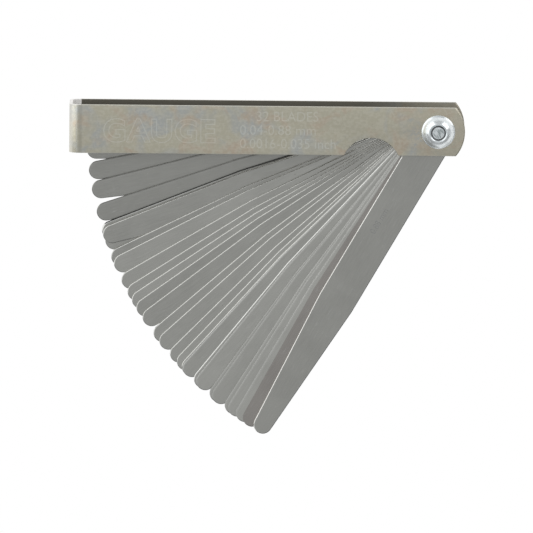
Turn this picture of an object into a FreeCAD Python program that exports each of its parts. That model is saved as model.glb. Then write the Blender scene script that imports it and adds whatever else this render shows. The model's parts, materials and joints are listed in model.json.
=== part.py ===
"""Folding feeler gauge: steel blades that turn on one screw inside a folded sheet-steel case.

Millimetres, +Z up. The origin is on the pivot axis, on the flat outer face of the screw
head, so Z = 0 is the lowest plane. The case runs from the pivot towards -X, the blades open
towards -Y and the domed nut is on top, at the +Z side.
"""

import FreeCAD, Part

import math
import os

from FreeCAD import Vector

# Blade outline, measured from the pivot axis
BLADE_WIDTH = 10.0
BLADE_STRAIGHT = 54.0
BLADE_REACH = 95.0
BLADE_TIP_RADIUS = 2.5
BLADE_EDGE_BREAK = 0.08
EDGE_BREAK_FROM_THICKNESS = 0.3

# Blades from the nut side down: thickness in millimetres, degrees turned out of the case
BLADES = (
    (0.88, 59.8),
    (0.04, 59.8),
    (0.05, 57.7),
    (0.06, 56.3),
    (0.08, 54.7),
    (0.10, 54.0),
    (0.13, 54.0),
    (0.15, 51.3),
    (0.18, 50.8),
    (0.20, 50.8),
    (0.23, 47.8),
    (0.25, 47.3),
    (0.28, 44.7),
    (0.30, 44.4),
    (0.33, 43.2),
    (0.35, 41.5),
    (0.38, 38.7),
    (0.40, 37.1),
    (0.43, 33.9),
    (0.45, 32.0),
    (0.48, 30.5),
    (0.50, 29.0),
    (0.53, 26.8),
    (0.55, 23.8),
    (0.58, 22.6),
    (0.60, 18.6),
    (0.63, 19.8),
    (0.65, 18.0),
    (0.70, 14.8),
    (0.73, 11.0),
    (0.75, 7.8),
    (0.80, 4.4),
)
LAYER_GAP = 0.02

# Case, folded from one strip of sheet
SHEET = 0.9
EDGE_MARGIN = 1.55
TIP_CLEARANCE = 3.5
BEND_INNER_RADIUS = 1.9
NOSE_REACH = 7.2
NOSE_CORNER_REACH = 4.8
NOTCH_RADIUS = 8.0
NOTCH_DEPTH = 4.75
NOTCH_DISTANCE = 18.0

# Pivot screw
SHANK_DIAMETER = 4.0
BLADE_HOLE_CLEARANCE = 0.05
CASE_HOLE_CLEARANCE = 0.08
HEAD_DIAMETER = 8.0
HEAD_HEIGHT = 2.2
HEAD_ROUND = 0.7
RECESS_LENGTH = 4.2
RECESS_WIDTH = 1.0
RECESS_DEPTH = 1.3
END_STEP = 0.25
END_LENGTH = 1.1
END_CHAMFER = 0.25
END_BELOW_NUT_TOP = 0.25

# Domed nut
NUT_DIAMETER = 9.0
NUT_HEIGHT = 3.4
NUT_RIM_HEIGHT = 0.6
NUT_TOP_RING = 0.48
NUT_THREAD_CLEARANCE = 0.02
NUT_MOUTH_CHAMFER = 0.2

# Sizes that follow from the ones above
CASE_WIDTH = BLADE_WIDTH + 2 * EDGE_MARGIN
CASE_END = -(BLADE_REACH + TIP_CLEARANCE + SHEET)
STACK_HEIGHT = sum(thickness for thickness, _ in BLADES) + (len(BLADES) + 1) * LAYER_GAP
CASE_BOTTOM = HEAD_HEIGHT
STACK_TOP = CASE_BOTTOM + SHEET + STACK_HEIGHT
CASE_TOP = STACK_TOP + SHEET
NUT_TOP = CASE_TOP + NUT_HEIGHT

ORIGIN = Vector(0, 0, 0)
UP = Vector(0, 0, 1)


def closed_face(edges):
    """A flat face inside a closed chain of edges."""
    return Part.Face(Part.Wire(edges))


def line(start, end):
    """A straight edge."""
    return Part.LineSegment(start, end).toShape()


def arc(start, through, end):
    """A round edge through three points."""
    return Part.Arc(start, through, end).toShape()


def cylinder(radius, bottom, top, x=0.0, y=0.0):
    """A solid cylinder along Z."""
    return Part.makeCylinder(radius, top - bottom, Vector(x, y, bottom), UP)


def blade_outline():
    """The closed outline of one blade, pointing along -X from the pivot axis."""
    half = BLADE_WIDTH / 2
    tip_centre = BLADE_REACH - BLADE_TIP_RADIUS
    run = tip_centre - BLADE_STRAIGHT
    side_angle = math.atan2(half, run) - math.asin(BLADE_TIP_RADIUS / math.hypot(half, run))
    touch_x = -(tip_centre + BLADE_TIP_RADIUS * math.sin(side_angle))
    touch_y = BLADE_TIP_RADIUS * math.cos(side_angle)
    far_root, near_root = Vector(0, half, 0), Vector(0, -half, 0)
    far_bend, near_bend = Vector(-BLADE_STRAIGHT, half, 0), Vector(-BLADE_STRAIGHT, -half, 0)
    far_touch, near_touch = Vector(touch_x, touch_y, 0), Vector(touch_x, -touch_y, 0)
    return [
        arc(far_root, Vector(half, 0, 0), near_root),
        line(near_root, near_bend),
        line(near_bend, near_touch),
        arc(near_touch, Vector(-BLADE_REACH, 0, 0), far_touch),
        line(far_touch, far_bend),
        line(far_bend, far_root),
    ]


def make_blade(thickness, angle, bottom):
    """One blade of a given thickness, turned out of the case by an angle in degrees."""
    blade = closed_face(blade_outline()).extrude(Vector(0, 0, thickness))
    if thickness >= EDGE_BREAK_FROM_THICKNESS:
        rims = [edge for edge in blade.Edges if edge.BoundBox.ZLength < thickness / 2]
        blade = blade.makeChamfer(min(BLADE_EDGE_BREAK, thickness / 4), rims)
    hole_radius = SHANK_DIAMETER / 2 + BLADE_HOLE_CLEARANCE
    blade = blade.cut(cylinder(hole_radius, -thickness, 2 * thickness))
    blade.translate(Vector(0, 0, bottom))
    blade.rotate(ORIGIN, UP, angle)
    return blade


def make_blades():
    """Every blade in its own layer, from the front cheek down, keyed by node name."""
    blades = {}
    top = STACK_TOP - LAYER_GAP
    for thickness, angle in BLADES:
        name = f"blade_{thickness:.2f}mm".replace(".", "_")
        blades[name] = make_blade(thickness, angle, top - thickness)
        top -= thickness + LAYER_GAP
    return blades


def channel():
    """The strip folded into a U: back cheek, end wall and front cheek, seen along Y."""
    outer, inner = BEND_INNER_RADIUS + SHEET, BEND_INNER_RADIUS
    bend_x = CASE_END + outer
    low_z, high_z = CASE_BOTTOM + outer, CASE_TOP - outer
    diagonal = math.sqrt(0.5)

    def at(x, z):
        return Vector(x, -CASE_WIDTH / 2, z)

    def low_bend(radius):
        return at(bend_x - radius * diagonal, low_z - radius * diagonal)

    def high_bend(radius):
        return at(bend_x - radius * diagonal, high_z + radius * diagonal)

    profile = [
        line(at(NOSE_REACH, CASE_BOTTOM), at(bend_x, CASE_BOTTOM)),
        arc(at(bend_x, CASE_BOTTOM), low_bend(outer), at(CASE_END, low_z)),
        line(at(CASE_END, low_z), at(CASE_END, high_z)),
        arc(at(CASE_END, high_z), high_bend(outer), at(bend_x, CASE_TOP)),
        line(at(bend_x, CASE_TOP), at(NOSE_REACH, CASE_TOP)),
        line(at(NOSE_REACH, CASE_TOP), at(NOSE_REACH, STACK_TOP)),
        line(at(NOSE_REACH, STACK_TOP), at(bend_x, STACK_TOP)),
        arc(at(bend_x, STACK_TOP), high_bend(inner), at(CASE_END + SHEET, high_z)),
        line(at(CASE_END + SHEET, high_z), at(CASE_END + SHEET, low_z)),
        arc(at(CASE_END + SHEET, low_z), low_bend(inner), at(bend_x, CASE_BOTTOM + SHEET)),
        line(at(bend_x, CASE_BOTTOM + SHEET), at(NOSE_REACH, CASE_BOTTOM + SHEET)),
        line(at(NOSE_REACH, CASE_BOTTOM + SHEET), at(NOSE_REACH, CASE_BOTTOM)),
    ]
    return closed_face(profile).extrude(Vector(0, CASE_WIDTH, 0))


def cheek_outline():
    """The case seen along Z: a long strip with an arched nose."""
    half = CASE_WIDTH / 2
    beyond = CASE_END - SHEET
    far_corner, near_corner = Vector(NOSE_CORNER_REACH, half, 0), Vector(NOSE_CORNER_REACH, -half, 0)
    return [
        line(Vector(beyond, half, 0), far_corner),
        arc(far_corner, Vector(NOSE_REACH, 0, 0), near_corner),
        line(near_corner, Vector(beyond, -half, 0)),
        line(Vector(beyond, -half, 0), Vector(beyond, half, 0)),
    ]


def make_case():
    """The folded case with its arched nose, thumb notches and pivot holes."""
    bottom, top = CASE_BOTTOM - SHEET, CASE_TOP + SHEET
    outline = closed_face(cheek_outline())
    outline.translate(Vector(0, 0, bottom))
    case = channel().common(outline.extrude(Vector(0, 0, top - bottom)))
    notch_y = -(CASE_WIDTH / 2 + NOTCH_RADIUS - NOTCH_DEPTH)
    notch = cylinder(NOTCH_RADIUS, bottom, top, -NOTCH_DISTANCE, notch_y)
    pivot_hole = cylinder(SHANK_DIAMETER / 2 + CASE_HOLE_CLEARANCE, bottom, top)
    return case.cut(notch).cut(pivot_hole)


def turned(profile):
    """A solid turned about the pivot axis from an outline given in the XZ plane."""
    return closed_face(profile).revolve(ORIGIN, UP, 360)


def drive_recess():
    """The cross-shaped recess for the screwdriver, open at Z = 0."""
    arm = Part.makeBox(RECESS_LENGTH, RECESS_WIDTH, 2 * RECESS_DEPTH)
    arm.translate(Vector(-RECESS_LENGTH / 2, -RECESS_WIDTH / 2, -RECESS_DEPTH))
    other_arm = arm.copy()
    other_arm.rotate(ORIGIN, UP, 90)
    return arm.fuse(other_arm)


def make_pivot_screw():
    """The screw that the blades turn on: round head below, plain shank, turned-down end."""
    head, shank = HEAD_DIAMETER / 2, SHANK_DIAMETER / 2
    end = shank - END_STEP
    top = NUT_TOP - END_BELOW_NUT_TOP
    shoulder = top - END_LENGTH
    slope = HEAD_ROUND * (1 - math.sqrt(0.5))
    corners = [
        Vector(head, 0, HEAD_ROUND),
        Vector(head, 0, HEAD_HEIGHT),
        Vector(shank, 0, HEAD_HEIGHT),
        Vector(shank, 0, shoulder),
        Vector(end, 0, shoulder),
        Vector(end, 0, top - END_CHAMFER),
        Vector(end - END_CHAMFER, 0, top),
        Vector(0, 0, top),
        Vector(0, 0, 0),
        Vector(head - HEAD_ROUND, 0, 0),
    ]
    profile = [line(start, stop) for start, stop in zip(corners, corners[1:])]
    profile.append(arc(corners[-1], Vector(head - slope, 0, slope), corners[0]))
    return turned(profile).cut(drive_recess())


def make_domed_nut():
    """The round nut: a low rim, a dome that leaves the rim upright, and a threaded hole."""
    rim = NUT_DIAMETER / 2
    bore = SHANK_DIAMETER / 2 + NUT_THREAD_CLEARANCE
    mouth = bore + NUT_MOUTH_CHAMFER
    crown = mouth + NUT_TOP_RING
    rise = NUT_HEIGHT - NUT_RIM_HEIGHT
    centre = (rim**2 - crown**2 - rise**2) / (2 * (rim - crown))
    half_sweep = math.atan2(rise, crown - centre) / 2
    dome_radius = rim - centre
    rim_z = CASE_TOP + NUT_RIM_HEIGHT
    on_dome = Vector(
        centre + dome_radius * math.cos(half_sweep), 0, rim_z + dome_radius * math.sin(half_sweep)
    )
    profile = [
        line(Vector(bore, 0, CASE_TOP), Vector(rim, 0, CASE_TOP)),
        line(Vector(rim, 0, CASE_TOP), Vector(rim, 0, rim_z)),
        arc(Vector(rim, 0, rim_z), on_dome, Vector(crown, 0, NUT_TOP)),
        line(Vector(crown, 0, NUT_TOP), Vector(mouth, 0, NUT_TOP)),
        line(Vector(mouth, 0, NUT_TOP), Vector(bore, 0, NUT_TOP - NUT_MOUTH_CHAMFER)),
        line(Vector(bore, 0, NUT_TOP - NUT_MOUTH_CHAMFER), Vector(bore, 0, CASE_TOP)),
    ]
    return turned(profile)


def main():
    """Build every piece and write one file for each."""
    pieces = {
        "case": make_case(),
        "pivot_screw": make_pivot_screw(),
        "domed_nut": make_domed_nut(),
        **make_blades(),
    }
    os.makedirs("parts", exist_ok=True)
    for name, piece in pieces.items():
        piece.exportStep(f"parts/{name}.step")


if __name__ == "__main__":
    main()
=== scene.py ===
"""Looks of a folding feeler gauge: a folded sheet case, a screw, a domed nut and a fan of 32 blades."""

from __future__ import annotations

import json
import logging
import math
from collections.abc import Callable
from dataclasses import dataclass, field, replace
from enum import Enum

import bmesh
import bpy
from mathutils import Matrix, Vector

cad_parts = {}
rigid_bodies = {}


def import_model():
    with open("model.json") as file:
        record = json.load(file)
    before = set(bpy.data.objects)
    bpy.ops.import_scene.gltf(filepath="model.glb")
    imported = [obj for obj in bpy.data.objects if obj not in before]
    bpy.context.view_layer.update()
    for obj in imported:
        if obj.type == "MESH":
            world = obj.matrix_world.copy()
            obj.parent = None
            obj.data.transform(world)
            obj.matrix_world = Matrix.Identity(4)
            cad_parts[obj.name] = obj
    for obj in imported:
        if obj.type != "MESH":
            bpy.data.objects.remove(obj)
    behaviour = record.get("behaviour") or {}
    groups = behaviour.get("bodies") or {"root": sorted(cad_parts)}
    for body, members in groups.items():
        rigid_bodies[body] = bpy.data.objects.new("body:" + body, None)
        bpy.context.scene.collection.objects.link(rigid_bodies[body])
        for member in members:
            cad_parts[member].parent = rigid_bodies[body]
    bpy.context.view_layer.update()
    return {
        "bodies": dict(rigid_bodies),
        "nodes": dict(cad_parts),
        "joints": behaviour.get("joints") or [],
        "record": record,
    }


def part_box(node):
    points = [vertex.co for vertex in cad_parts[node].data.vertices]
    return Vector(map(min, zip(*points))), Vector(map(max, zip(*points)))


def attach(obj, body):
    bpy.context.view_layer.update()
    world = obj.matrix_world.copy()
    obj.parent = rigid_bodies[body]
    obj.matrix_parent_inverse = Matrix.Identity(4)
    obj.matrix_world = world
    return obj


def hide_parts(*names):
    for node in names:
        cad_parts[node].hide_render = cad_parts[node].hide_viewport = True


MM = 0.001
NEAR = 1e-6
Colour = tuple[float, float, float]
Pair = tuple[float, float]
Inputs = dict[int | str, object]
Socket = bpy.types.NodeSocket
log = logging.getLogger("feeler_gauge")


class Cut(Enum):
    """How a mark is pressed into a sheet."""

    OUTLINE = "a groove round each letter"
    SOLID = "the whole stroke of each letter"


@dataclass(frozen=True)
class Line:
    """A line of text and the box that it fills."""

    words: str
    width: float
    height: float
    spacing: float = 1.0


# ---------------------------------------------------------------- shaping


class Solid:
    """A piece on the bench: a primitive shaped in edit mode and finished with applied modifiers."""

    def __init__(self, name: str) -> None:
        """Takes the object that was just added as the piece.

        Args:
            name: The name of the piece.
        """
        self.obj: bpy.types.Object = bpy.context.object
        self.obj.name = name
        self.obj.data.name = name

    @classmethod
    def plate(cls, name: str, low: Vector, high: Vector) -> Solid:
        """Lays a flat rectangle at the height of its two corners.

        Args:
            name: The name of the piece.
            low: The corner with the smaller x and y.
            high: The corner with the larger x and y.

        Returns:
            The rectangle.
        """
        clear_selection()
        bpy.ops.mesh.primitive_plane_add(size=1)
        solid = cls(name)
        solid.obj.location = (low + high) / 2
        solid.obj.scale = (high.x - low.x, high.y - low.y, 1)
        bpy.ops.object.transform_apply(location=True, rotation=False, scale=True)
        return solid

    @classmethod
    def ring(cls, name: str, radius: float, height: float, segments: int, filled: bool) -> Solid:
        """Draws a circle round the pivot axis, to be drawn up into a turned piece.

        Args:
            name: The name of the piece.
            radius: The circle's radius.
            height: Its height along the axis.
            segments: How many sides it has.
            filled: True for a disc, False for a bare loop.

        Returns:
            The circle.
        """
        clear_selection()
        fill = "NGON" if filled else "NOTHING"
        bpy.ops.mesh.primitive_circle_add(
            vertices=segments, radius=radius, fill_type=fill, location=(0, 0, height)
        )
        solid = cls(name)
        bpy.ops.object.transform_apply(location=True, rotation=False, scale=False)
        return solid

    @classmethod
    def post(cls, name: str, radius: float, low: Vector, height: float, segments: int) -> Solid:
        """Stands a round post, used as a cutter.

        Args:
            name: The name of the piece.
            radius: The post's radius.
            low: The centre of its foot.
            height: Its height.
            segments: How many sides it has.

        Returns:
            The post.
        """
        clear_selection()
        bpy.ops.mesh.primitive_cylinder_add(
            vertices=segments, radius=radius, depth=height, location=low + Vector((0, 0, height / 2))
        )
        solid = cls(name)
        bpy.ops.object.transform_apply(location=True, rotation=False, scale=False)
        return solid

    @classmethod
    def text(cls, name: str, line: Line, depth: float, place: Matrix, grow: float = 0.0) -> Solid:
        """Makes a line of plain block letters as solid bodies.

        Args:
            name: The name of the piece.
            line: The words and the size of the box that they fill.
            depth: The full thickness of the letters, half of it on each side of their plane.
            place: Where the middle of the line lies, and how it is turned.
            grow: How far the letters' outline is moved outwards.

        Returns:
            The letters.
        """
        clear_selection()
        bpy.ops.object.text_add()
        solid = cls(name)
        curve = solid.obj.data
        curve.body = line.words
        curve.size = line.height
        curve.align_x = curve.align_y = "CENTER"
        curve.space_character = line.spacing
        curve.resolution_u = 4
        bpy.context.view_layer.update()
        width, height, _ = solid.obj.dimensions
        low, high = Vector(solid.obj.bound_box[0]), Vector(solid.obj.bound_box[6])
        curve.extrude = depth / 2
        curve.offset = grow * height / line.height
        bpy.ops.object.convert(target="MESH")
        solid.obj = bpy.context.object
        fit = Matrix.Diagonal((line.width / width, line.height / height, 1, 1))
        solid.obj.matrix_world = place @ fit @ Matrix.Translation((*(-(low + high) / 2).xy, 0))
        bpy.ops.object.transform_apply(location=True, rotation=True, scale=True)
        return solid.tidied()

    def _focus(self, mode: str) -> None:
        """Makes this the only selected object, in object or edit mode."""
        if bpy.context.object is not None and bpy.context.object.mode != "OBJECT":
            bpy.ops.object.mode_set(mode="OBJECT")
        clear_selection()
        self.obj.select_set(True)
        bpy.context.view_layer.objects.active = self.obj
        if mode == "EDIT":
            bpy.ops.object.mode_set(mode="EDIT")

    def pick(self, test: Callable[[Vector], bool]) -> Solid:
        """Selects the corners that lie where a test says, with the edges and faces between them.

        Args:
            test: Says of a place whether its corner is picked.

        Returns:
            The piece itself.
        """
        self._focus("EDIT")
        bpy.ops.mesh.select_mode(type="VERT")
        bpy.ops.mesh.select_all(action="DESELECT")
        mesh = bmesh.from_edit_mesh(self.obj.data)
        for corner in mesh.verts:
            corner.select = test(corner.co)
        mesh.select_flush(True)
        bmesh.update_edit_mesh(self.obj.data)
        return self

    def extrude(self, move: Vector) -> Solid:
        """Extrudes what is picked and moves it.

        Args:
            move: How far it moves.

        Returns:
            The piece itself.
        """
        bpy.ops.mesh.extrude_region_move(TRANSFORM_OT_translate={"value": tuple(move)})
        return self

    def widen(self, factor: float) -> Solid:
        """Scales what is picked about the pivot axis, keeping its height.

        Args:
            factor: The new radius over the old one.

        Returns:
            The piece itself.
        """
        bpy.ops.transform.resize(value=(factor, factor, 1), center_override=(0, 0, 0))
        return self

    def spin(self, centre: Vector, axis: Vector, angle: float, steps: int) -> Solid:
        """Sweeps what is picked round a centre.

        Args:
            centre: A point on the axis that it turns about.
            axis: The direction of that axis.
            angle: How far it turns, in radians, right-handed about that axis.
            steps: How many steps it takes.

        Returns:
            The piece itself.
        """
        bpy.ops.mesh.spin(steps=steps, angle=-angle, center=tuple(centre), axis=tuple(axis))
        return self

    def fill(self) -> Solid:
        """Closes the picked loop with a face."""
        bpy.ops.mesh.edge_face_add()
        return self

    def bridge(self) -> Solid:
        """Joins the two picked loops with a wall."""
        bpy.ops.mesh.bridge_edge_loops()
        return self

    def tidied(self, distance: float = 2 * NEAR) -> Solid:
        """Merges doubles and turns every face outwards.

        Args:
            distance: How near two corners are to be merged.

        Returns:
            The piece itself.
        """
        self._focus("EDIT")
        bpy.ops.mesh.select_all(action="SELECT")
        bpy.ops.mesh.remove_doubles(threshold=distance)
        bpy.ops.mesh.normals_make_consistent(inside=False)
        bpy.ops.object.mode_set(mode="OBJECT")
        return self

    def modified(self, kind: str, **settings: object) -> Solid:
        """Adds a modifier and applies it.

        Args:
            kind: The modifier's type.
            settings: Its values by name.

        Returns:
            The piece itself.
        """
        self._focus("OBJECT")
        modifier = self.obj.modifiers.new(kind.lower(), kind)
        for name, value in settings.items():
            setattr(modifier, name, value)
        bpy.ops.object.modifier_apply(modifier=modifier.name)
        return self

    def carved(self, *cutters: Solid) -> Solid:
        """Cuts other solids out of this one and clears them away.

        Args:
            cutters: The solids to cut with.

        Returns:
            The piece itself.
        """
        return self._combined("DIFFERENCE", cutters)

    def joined(self, *others: Solid) -> Solid:
        """Fuses other solids with this one.

        Args:
            others: The solids to add.

        Returns:
            The piece itself.
        """
        return self._combined("UNION", others)

    def _combined(self, operation: str, others: tuple[Solid, ...]) -> Solid:
        """Combines other solids with this one and clears them away."""
        for other in others:
            self.modified("BOOLEAN", operation=operation, solver="EXACT", use_self=True, object=other.obj)
            bpy.data.objects.remove(other.obj)
        return self

    def smoothed(self, degrees: float) -> Solid:
        """Shades faces smooth where they meet at less than an angle.

        Args:
            degrees: That angle.

        Returns:
            The piece itself.
        """
        self._focus("OBJECT")
        bpy.ops.object.shade_smooth_by_angle(angle=math.radians(degrees))
        return self


def clear_selection() -> None:
    """Deselects every object."""
    for item in bpy.context.selected_objects:
        item.select_set(False)


def turned(name: str, profile: list[Pair], segments: int, hollow: bool) -> Solid:
    """Turns a profile about the pivot axis, ring by ring.

    Args:
        name: The name of the piece.
        profile: Radius and height of each ring, from the first to the last.
        segments: How many sides each ring has.
        hollow: True to join the last ring to the first, False to leave a face at both ends.

    Returns:
        The closed solid.
    """
    radius, height = profile[0]
    solid = Solid.ring(name, radius, height, segments, filled=not hollow)
    solid.pick(lambda place: True)
    for next_radius, next_height in profile[1:]:
        solid.extrude(Vector((0, 0, next_height - height)))
        if abs(next_radius - radius) > NEAR / 100:
            solid.widen(next_radius / radius)
        radius, height = next_radius, next_height
    if hollow:
        first, last = profile[0], profile[-1]

        def on_either(place: Vector) -> bool:
            """Says whether a place is on the first or the last ring."""
            reach = math.hypot(place.x, place.y)
            return any(abs(reach - r) < NEAR and abs(place.z - z) < NEAR for r, z in (first, last))

        solid.pick(on_either).bridge()
    return solid.tidied()


def arc(centre: Pair, radius: float, start: float, end: float, steps: int) -> list[Pair]:
    """Gives the points of an arc in the plane of a profile.

    Args:
        centre: The arc's centre.
        radius: Its radius.
        start: The angle that it starts at, in degrees.
        end: The angle that it ends at, in degrees.
        steps: How many pieces it has.

    Returns:
        Radius and height of each point.
    """
    angles = [math.radians(start + (end - start) * step / steps) for step in range(steps + 1)]
    return [(centre[0] + radius * math.cos(a), centre[1] + radius * math.sin(a)) for a in angles]


# ---------------------------------------------------------------- shader nodes


class NodeSheet:
    """Adds and joins nodes on one node tree."""

    def __init__(self, tree: bpy.types.NodeTree) -> None:
        """Starts on a tree.

        Args:
            tree: The tree to add to.
        """
        self.tree = tree

    def add(self, kind: str, inputs: Inputs | None = None, **settings: object) -> bpy.types.Node:
        """Adds a node.

        Args:
            kind: Its type, without the word ShaderNode at the front.
            inputs: A value, or a socket to link, for each input by name or number.
            settings: Other properties of the node.

        Returns:
            The node.
        """
        node = self.tree.nodes.new("ShaderNode" + kind)
        node.location = (180 * len(self.tree.nodes), 0)
        for name, value in settings.items():
            setattr(node, name, value)
        self.feed(node, inputs or {})
        return node

    def feed(self, node: bpy.types.Node, inputs: Inputs) -> None:
        """Sets or links some inputs of a node.

        Args:
            node: The node.
            inputs: A value, or a socket to link, for each input by name or number.
        """
        for key, value in inputs.items():
            if isinstance(value, Socket):
                self.tree.links.new(value, node.inputs[key])
            else:
                node.inputs[key].default_value = value

    def math(self, operation: str, *values: object) -> Socket:
        """Adds a Math node and gives its result."""
        return self.add("Math", dict(enumerate(values)), operation=operation).outputs[0]

    def vector(self, operation: str, *values: object) -> Socket:
        """Adds a Vector Math node and gives its vector."""
        return self.add("VectorMath", dict(enumerate(values)), operation=operation).outputs["Vector"]

    def scaled(self, vector: object, factor: object) -> Socket:
        """Scales a vector by a number."""
        return self.add("VectorMath", {0: vector, "Scale": factor}, operation="SCALE").outputs["Vector"]

    def length(self, vector: object) -> Socket:
        """Gives a vector's length."""
        return self.add("VectorMath", {0: vector}, operation="LENGTH").outputs["Value"]

    def split(self, vector: object) -> tuple[Socket, ...]:
        """Gives a vector's x, y and z."""
        return tuple(self.add("SeparateXYZ", {0: vector}).outputs)

    def merge(self, x: object, y: object, z: object) -> Socket:
        """Makes a vector of three numbers."""
        return self.add("CombineXYZ", {0: x, 1: y, 2: z}).outputs[0]

    def ease(
        self, value: object, low: object, high: object, out_low: object = 0.0, out_high: object = 1.0
    ) -> Socket:
        """Maps a value smoothly from one span to another.

        Args:
            value: The value.
            low: Where the span starts.
            high: Where it ends.
            out_low: What the start gives.
            out_high: What the end gives.

        Returns:
            The socket with the result.
        """
        spans = {0: value, 1: low, 2: high, 3: out_low, 4: out_high}
        return self.add("MapRange", spans, interpolation_type="SMOOTHSTEP").outputs[0]

    def blend(self, factor: object, first: object, second: object) -> Socket:
        """Mixes two colours.

        Args:
            factor: How much of the second colour shows.
            first: The first colour, as three numbers or a socket.
            second: The second colour.

        Returns:
            The socket with the mixed colour.
        """
        pair = [(*c, 1.0) if isinstance(c, tuple) else c for c in (first, second)]
        inputs = {0: factor, 6: pair[0], 7: pair[1]}
        return self.add("Mix", inputs, data_type="RGBA").outputs[2]

    def noise(self, vector: object, scale: object, detail: float = 3.0, warp: float = 0.0) -> Socket:
        """Gives soft noise between 0 and 1."""
        inputs = {"Vector": vector, "Scale": scale, "Detail": detail, "Distortion": warp}
        return self.add("TexNoise", inputs).outputs["Fac"]

    def group(self, tree: bpy.types.NodeTree, inputs: Inputs) -> bpy.types.Node:
        """Places a node group with its own values."""
        node = self.tree.nodes.new("ShaderNodeGroup")
        node.node_tree = tree
        node.location = (180 * len(self.tree.nodes), 0)
        self.feed(node, inputs)
        return node


class GroupSheet(NodeSheet):
    """A shader node group under way, with named inputs and outputs."""

    def __init__(self, name: str, inputs: dict[str, object], outputs: list[str]) -> None:
        """Makes the group and its sockets.

        Args:
            name: The group's name.
            inputs: The default of each input by name: a number, or three of them for a vector.
            outputs: The names of the outputs; Normal and Outward are vectors.
        """
        super().__init__(bpy.data.node_groups.new(name, "ShaderNodeTree"))
        for label, value in inputs.items():
            kind = "NodeSocketVector" if isinstance(value, tuple) else "NodeSocketFloat"
            socket = self.tree.interface.new_socket(name=label, in_out="INPUT", socket_type=kind)
            socket.default_value = value
        for label in outputs:
            kind = "NodeSocketVector" if label in ("Normal", "Outward") else "NodeSocketFloat"
            self.tree.interface.new_socket(name=label, in_out="OUTPUT", socket_type=kind)
        self.given = self.tree.nodes.new("NodeGroupInput").outputs
        self.result = self.tree.nodes.new("NodeGroupOutput")

    def finish(self, outputs: Inputs) -> bpy.types.NodeTree:
        """Links the outputs.

        Args:
            outputs: The socket for each output by name.

        Returns:
            The finished group.
        """
        self.feed(self.result, outputs)
        return self.tree


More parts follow.
